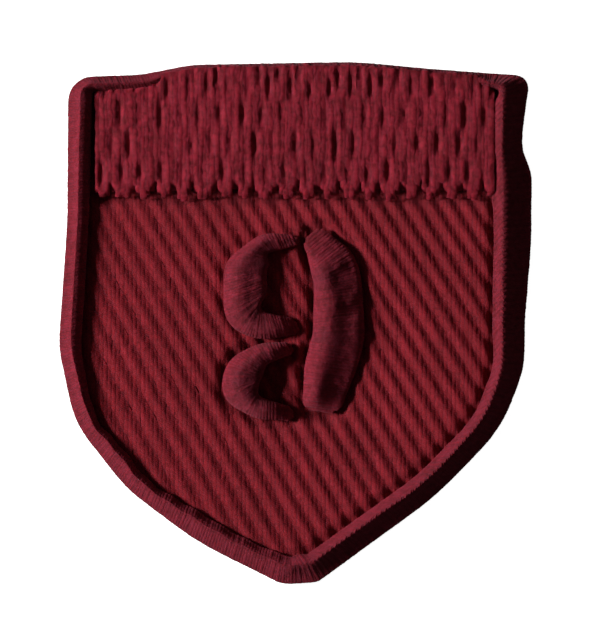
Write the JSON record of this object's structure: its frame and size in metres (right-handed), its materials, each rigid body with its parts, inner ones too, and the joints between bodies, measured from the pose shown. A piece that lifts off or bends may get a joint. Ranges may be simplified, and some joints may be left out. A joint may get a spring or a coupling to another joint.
{
  "type": "embroidered shield applique patch",
  "caption": "Small shield-shaped cloth patch with an overlocked border, a stitched band across the top and a raised numeral nine, for sewing on clothing or a cap.",
  "frame": {"origin": "middle of the patch's width and height, on the surface that it lies on", "axes": "+X across the patch to its right edge, +Y to its top edge, +Z out of its embroidered face"},
  "size_m": [0.0473, 0.0522, 0.0035],
  "materials": {
    "twill_cloth": "steep ribbed twill, dark red, matt",
    "border_thread": "overlocked thread, dark red with a soft sheen",
    "band_thread": "vertical fill stitches, dark red with a soft sheen",
    "numeral_thread": "padded satin stitches, dark red with a soft sheen"
  },
  "bodies": {
    "root": {"ground_cloth": "twill_cloth", "border": "border_thread", "band": "band_thread", "nine_bowl": "numeral_thread", "nine_stem": "numeral_thread", "nine_hook": "numeral_thread"}
  },
  "joints": []
}
